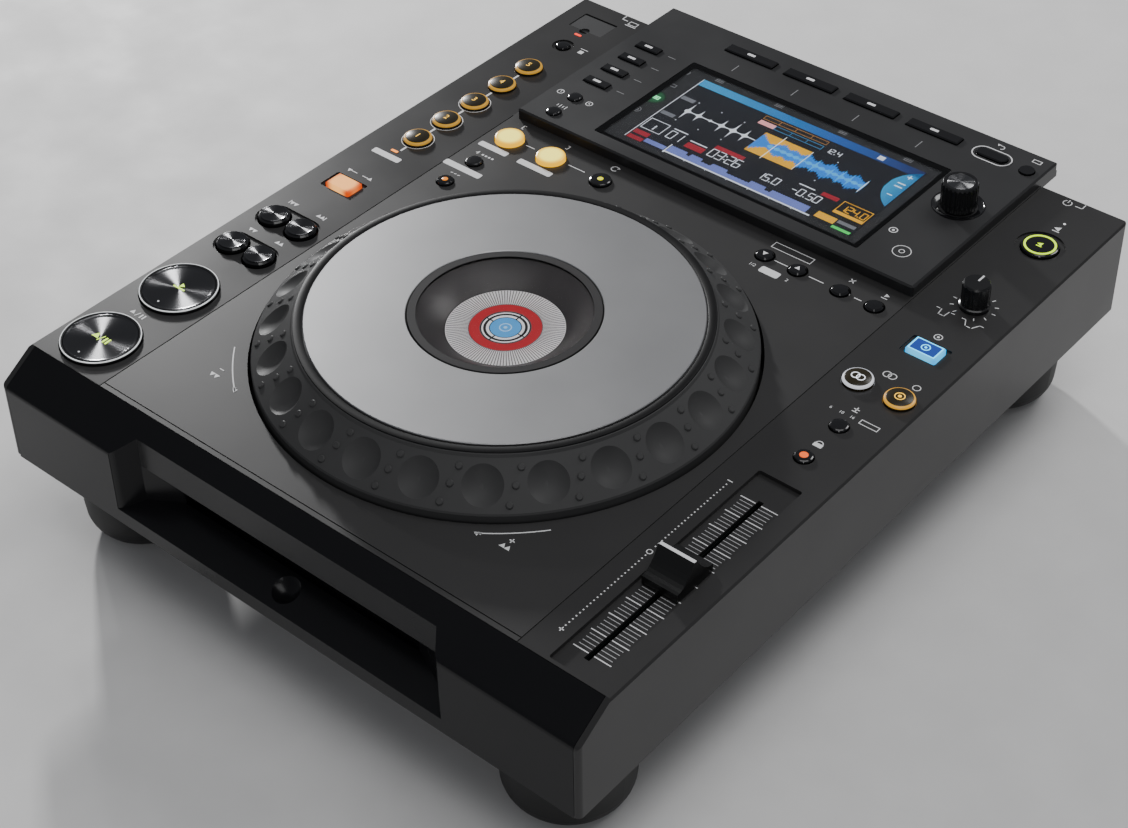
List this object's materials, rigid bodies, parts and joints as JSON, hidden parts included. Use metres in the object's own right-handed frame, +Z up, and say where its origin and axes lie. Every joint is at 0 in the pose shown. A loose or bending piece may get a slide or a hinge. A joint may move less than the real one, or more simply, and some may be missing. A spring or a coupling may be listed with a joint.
{
  "type": "tabletop disc player",
  "caption": "Tabletop disc player with a large turning jog wheel, front disc slot, raised display, push keys and a tempo slider, standing on round feet.",
  "frame": {"origin": "centre of the footprint on the surface it stands on", "axes": "+Z up, +Y towards the rear sockets, +X to the user's right"},
  "size_m": [0.305, 0.3858, 0.1065],
  "materials": {
    "case_plastic": "satin charcoal moulding with fine grain",
    "bezel_gloss": "high gloss black",
    "display_plastic": "satin black moulding",
    "smoked_glass": "smoked clear lens over a lit screen",
    "chassis_steel": "black painted sheet steel",
    "foot_plastic": "matt black moulded feet",
    "jack_plastic": "black connector bodies",
    "board": "green circuit boards with black parts",
    "frame_steel": "zinc plated sheet steel",
    "screw_steel": "plated screws",
    "jog_black": "semi gloss black moulding",
    "jog_aluminium": "satin spun aluminium",
    "jog_glass": "smoked centre window",
    "dial_white": "white lit centre display",
    "drive_black": "black drive mouldings",
    "roller_rubber": "rubber sleeves on a steel axle",
    "knob_black": "soft black knobs",
    "sleeve_metal": "turned metal sleeve",
    "key_black": "satin black keys",
    "key_clear": "translucent lit keys",
    "button_metal": "dark metallic lacquer"
  },
  "bodies": {
    "root": {"bottom_chassis": "chassis_steel", "top_case": "case_plastic", "front_bezel": "bezel_gloss", "display_housing": "display_plastic", "display_window": "smoked_glass", "rear_jacks": "jack_plastic", "feet": "foot_plastic", "circuit_boards": "board", "drive_frame": "frame_steel", "fasteners": "screw_steel", "jog_base": "drive_black", "jog_display": "dial_white"},
    "jog": {"jog_ring": "jog_black", "jog_plate": "jog_aluminium", "jog_window": "jog_glass"},
    "turntable": {"disc_turntable": "drive_black"},
    "roller": {"loading_roller": "roller_rubber"},
    "sled": {"pickup_sled": "drive_black"},
    "selector_sleeve": {"selector_sleeve": "sleeve_metal"},
    "selector_knob": {"selector_knob": "knob_black"},
    "vinyl_knob": {"vinyl_knob": "knob_black"},
    "tempo_slider": {"tempo_slider": "knob_black"},
    "usb_door": {"usb_door": "case_plastic"},
    "power_button": {"power_button": "key_black"},
    "usb_stop_key": {"usb_stop_key": "key_black"},
    "beat_key_1": {"beat_key_1": "key_black"},
    "beat_key_2": {"beat_key_2": "key_black"},
    "beat_key_3": {"beat_key_3": "key_black"},
    "beat_key_4": {"beat_key_4": "key_black"},
    "beat_key_5": {"beat_key_5": "key_black"},
    "direction_key": {"direction_key": "key_clear"},
    "track_search_rocker": {"track_search_rocker": "key_black"},
    "search_rocker": {"search_rocker": "key_black"},
    "cue_button": {"cue_button": "button_metal"},
    "play_button": {"play_button": "button_metal"},
    "loop_in_key": {"loop_in_key": "key_black"},
    "loop_out_key": {"loop_out_key": "key_black"},
    "reloop_key": {"reloop_key": "key_black"},
    "beat_loop_key": {"beat_loop_key": "key_black"},
    "slip_key": {"slip_key": "key_black"},
    "call_rocker": {"call_rocker": "key_black"},
    "memory_rocker": {"memory_rocker": "key_black"},
    "eject_key": {"eject_key": "key_black"},
    "jog_mode_key": {"jog_mode_key": "key_clear"},
    "sync_key": {"sync_key": "key_black"},
    "master_key": {"master_key": "key_black"},
    "tempo_range_key": {"tempo_range_key": "key_black"},
    "master_tempo_key": {"master_tempo_key": "key_black"},
    "source_key_1": {"source_key_1": "key_black"},
    "source_key_2": {"source_key_2": "key_black"},
    "source_key_3": {"source_key_3": "key_black"},
    "source_key_4": {"source_key_4": "key_black"},
    "time_mode_key": {"time_mode_key": "key_black"},
    "quantize_key": {"quantize_key": "key_black"},
    "menu_key_1": {"menu_key_1": "key_black"},
    "menu_key_2": {"menu_key_2": "key_black"},
    "menu_key_3": {"menu_key_3": "key_black"},
    "menu_key_4": {"menu_key_4": "key_black"},
    "back_key": {"back_key": "key_black"},
    "tag_key": {"tag_key": "key_black"}
  },
  "joints": [
    {"name": "jog_spin", "type": "hinge", "parent": "root", "child": "jog", "pos_m": [-0.0005, -0.05465, 0.0879], "axis": [0, 0, 1], "continuous": true},
    {"name": "turntable_spin", "type": "hinge", "parent": "root", "child": "turntable", "pos_m": [0, -0.09745, 0.0554], "axis": [0, 0, 1], "continuous": true},
    {"name": "roller_spin", "type": "hinge", "parent": "root", "child": "roller", "pos_m": [0, -0.16345, 0.0505], "axis": [1, 0, 0], "continuous": true},
    {"name": "sled_slide", "type": "slide", "parent": "root", "child": "sled", "axis": [0, 1, 0], "range_m": [0, 0.034]},
    {"name": "selector_push", "type": "slide", "parent": "root", "child": "selector_sleeve", "axis": [0, 0, -1], "range_m": [0, 0.0006], "stiffness_N_per_m": 1500, "springref_m": -0.0008},
    {"name": "selector_turn", "type": "hinge", "parent": "selector_sleeve", "child": "selector_knob", "pos_m": [0.0922, 0.13755, 0.0932], "axis": [0, 0, 1], "continuous": true},
    {"name": "vinyl_turn", "type": "hinge", "parent": "root", "child": "vinyl_knob", "pos_m": [0.1325, 0.08685, 0.0879], "axis": [0, 0, 1], "range_deg": [-150, 150]},
    {"name": "tempo_slide", "type": "slide", "parent": "root", "child": "tempo_slider", "axis": [0, 1, 0], "range_m": [-0.049, 0.049]},
    {"name": "usb_door_hinge", "type": "hinge", "parent": "root", "child": "usb_door", "pos_m": [-0.1324, 0.16695, 0.0867], "axis": [-1, 0, 0], "range_deg": [0, 95]},
    {"name": "power_press", "type": "slide", "parent": "root", "child": "power_button", "axis": [0, -1, 0], "range_m": [0, 0.0025], "stiffness_N_per_m": 700, "springref_m": -0.0005},
    {"name": "usb_stop_key_press", "type": "slide", "parent": "root", "child": "usb_stop_key", "axis": [0, 0, -1], "range_m": [0, 0.0008], "stiffness_N_per_m": 800, "springref_m": -0.0003},
    {"name": "beat_key_1_press", "type": "slide", "parent": "root", "child": "beat_key_1", "axis": [0, 0, -1], "range_m": [0, 0.0008], "stiffness_N_per_m": 800, "springref_m": -0.0003},
    {"name": "beat_key_2_press", "type": "slide", "parent": "root", "child": "beat_key_2", "axis": [0, 0, -1], "range_m": [0, 0.0008], "stiffness_N_per_m": 800, "springref_m": -0.0003},
    {"name": "beat_key_3_press", "type": "slide", "parent": "root", "child": "beat_key_3", "axis": [0, 0, -1], "range_m": [0, 0.0008], "stiffness_N_per_m": 800, "springref_m": -0.0003},
    {"name": "beat_key_4_press", "type": "slide", "parent": "root", "child": "beat_key_4", "axis": [0, 0, -1], "range_m": [0, 0.0008], "stiffness_N_per_m": 800, "springref_m": -0.0003},
    {"name": "beat_key_5_press", "type": "slide", "parent": "root", "child": "beat_key_5", "axis": [0, 0, -1], "range_m": [0, 0.0008], "stiffness_N_per_m": 800, "springref_m": -0.0003},
    {"name": "direction_key_press", "type": "slide", "parent": "root", "child": "direction_key", "axis": [0, 0, -1], "range_m": [0, 0.0008], "stiffness_N_per_m": 800, "springref_m": -0.0003},
    {"name": "track_search_rocker_tilt", "type": "hinge", "parent": "root", "child": "track_search_rocker", "pos_m": [-0.1307, -0.05065, 0.0819], "axis": [0, 1, 0], "range_deg": [-5.6, 5.6], "stiffness_Nm_per_rad": 0.06},
    {"name": "search_rocker_tilt", "type": "hinge", "parent": "root", "child": "search_rocker", "pos_m": [-0.1307, -0.07575, 0.0819], "axis": [0, 1, 0], "range_deg": [-5.6, 5.6], "stiffness_Nm_per_rad": 0.06},
    {"name": "cue_press", "type": "slide", "parent": "root", "child": "cue_button", "axis": [0, 0, -1], "range_m": [0, 0.0012], "stiffness_N_per_m": 1200, "springref_m": -0.0004},
    {"name": "play_press", "type": "slide", "parent": "root", "child": "play_button", "axis": [0, 0, -1], "range_m": [0, 0.0012], "stiffness_N_per_m": 1200, "springref_m": -0.0004},
    {"name": "loop_in_key_press", "type": "slide", "parent": "root", "child": "loop_in_key", "axis": [0, 0, -1], "range_m": [0, 0.0008], "stiffness_N_per_m": 800, "springref_m": -0.0003},
    {"name": "loop_out_key_press", "type": "slide", "parent": "root", "child": "loop_out_key", "axis": [0, 0, -1], "range_m": [0, 0.0008], "stiffness_N_per_m": 800, "springref_m": -0.0003},
    {"name": "reloop_key_press", "type": "slide", "parent": "root", "child": "reloop_key", "axis": [0, 0, -1], "range_m": [0, 0.0008], "stiffness_N_per_m": 800, "springref_m": -0.0003},
    {"name": "beat_loop_key_press", "type": "slide", "parent": "root", "child": "beat_loop_key", "axis": [0, 0, -1], "range_m": [0, 0.0008], "stiffness_N_per_m": 800, "springref_m": -0.0003},
    {"name": "slip_key_press", "type": "slide", "parent": "root", "child": "slip_key", "axis": [0, 0, -1], "range_m": [0, 0.0008], "stiffness_N_per_m": 800, "springref_m": -0.0003},
    {"name": "call_rocker_tilt", "type": "hinge", "parent": "root", "child": "call_rocker", "pos_m": [0.0533, 0.06095, 0.0819], "axis": [0, 1, 0], "range_deg": [-5.4, 5.4], "stiffness_Nm_per_rad": 0.06},
    {"name": "memory_rocker_tilt", "type": "hinge", "parent": "root", "child": "memory_rocker", "pos_m": [0.0922, 0.06055, 0.0819], "axis": [0, 1, 0], "range_deg": [-5.4, 5.4], "stiffness_Nm_per_rad": 0.06},
    {"name": "eject_key_press", "type": "slide", "parent": "root", "child": "eject_key", "axis": [0, 0, -1], "range_m": [0, 0.0008], "stiffness_N_per_m": 800, "springref_m": -0.0003},
    {"name": "jog_mode_key_press", "type": "slide", "parent": "root", "child": "jog_mode_key", "axis": [0, 0, -1], "range_m": [0, 0.0008], "stiffness_N_per_m": 800, "springref_m": -0.0003},
    {"name": "sync_key_press", "type": "slide", "parent": "root", "child": "sync_key", "axis": [0, 0, -1], "range_m": [0, 0.0008], "stiffness_N_per_m": 800, "springref_m": -0.0003},
    {"name": "master_key_press", "type": "slide", "parent": "root", "child": "master_key", "axis": [0, 0, -1], "range_m": [0, 0.0008], "stiffness_N_per_m": 800, "springref_m": -0.0003},
    {"name": "tempo_range_key_press", "type": "slide", "parent": "root", "child": "tempo_range_key", "axis": [0, 0, -1], "range_m": [0, 0.0008], "stiffness_N_per_m": 800, "springref_m": -0.0003},
    {"name": "master_tempo_key_press", "type": "slide", "parent": "root", "child": "master_tempo_key", "axis": [0, 0, -1], "range_m": [0, 0.0008], "stiffness_N_per_m": 800, "springref_m": -0.0003},
    {"name": "source_key_1_press", "type": "slide", "parent": "root", "child": "source_key_1", "axis": [0, 0, -1], "range_m": [0, 0.0008], "stiffness_N_per_m": 800, "springref_m": -0.0003},
    {"name": "source_key_2_press", "type": "slide", "parent": "root", "child": "source_key_2", "axis": [0, 0, -1], "range_m": [0, 0.0008], "stiffness_N_per_m": 800, "springref_m": -0.0003},
    {"name": "source_key_3_press", "type": "slide", "parent": "root", "child": "source_key_3", "axis": [0, 0, -1], "range_m": [0, 0.0008], "stiffness_N_per_m": 800, "springref_m": -0.0003},
    {"name": "source_key_4_press", "type": "slide", "parent": "root", "child": "source_key_4", "axis": [0, 0, -1], "range_m": [0, 0.0008], "stiffness_N_per_m": 800, "springref_m": -0.0003},
    {"name": "time_mode_key_press", "type": "slide", "parent": "root", "child": "time_mode_key", "axis": [0, 0, -1], "range_m": [0, 0.0008], "stiffness_N_per_m": 800, "springref_m": -0.0003},
    {"name": "quantize_key_press", "type": "slide", "parent": "root", "child": "quantize_key", "axis": [0, 0, -1], "range_m": [0, 0.0008], "stiffness_N_per_m": 800, "springref_m": -0.0003},
    {"name": "menu_key_1_press", "type": "slide", "parent": "root", "child": "menu_key_1", "axis": [0, 0, -1], "range_m": [0, 0.0008], "stiffness_N_per_m": 800, "springref_m": -0.0003},
    {"name": "menu_key_2_press", "type": "slide", "parent": "root", "child": "menu_key_2", "axis": [0, 0, -1], "range_m": [0, 0.0008], "stiffness_N_per_m": 800, "springref_m": -0.0003},
    {"name": "menu_key_3_press", "type": "slide", "parent": "root", "child": "menu_key_3", "axis": [0, 0, -1], "range_m": [0, 0.0008], "stiffness_N_per_m": 800, "springref_m": -0.0003},
    {"name": "menu_key_4_press", "type": "slide", "parent": "root", "child": "menu_key_4", "axis": [0, 0, -1], "range_m": [0, 0.0008], "stiffness_N_per_m": 800, "springref_m": -0.0003},
    {"name": "back_key_press", "type": "slide", "parent": "root", "child": "back_key", "axis": [0, 0, -1], "range_m": [0, 0.0008], "stiffness_N_per_m": 800, "springref_m": -0.0003},
    {"name": "tag_key_press", "type": "slide", "parent": "root", "child": "tag_key", "axis": [0, 0, -1], "range_m": [0, 0.0008], "stiffness_N_per_m": 800, "springref_m": -0.0003}
  ]
}
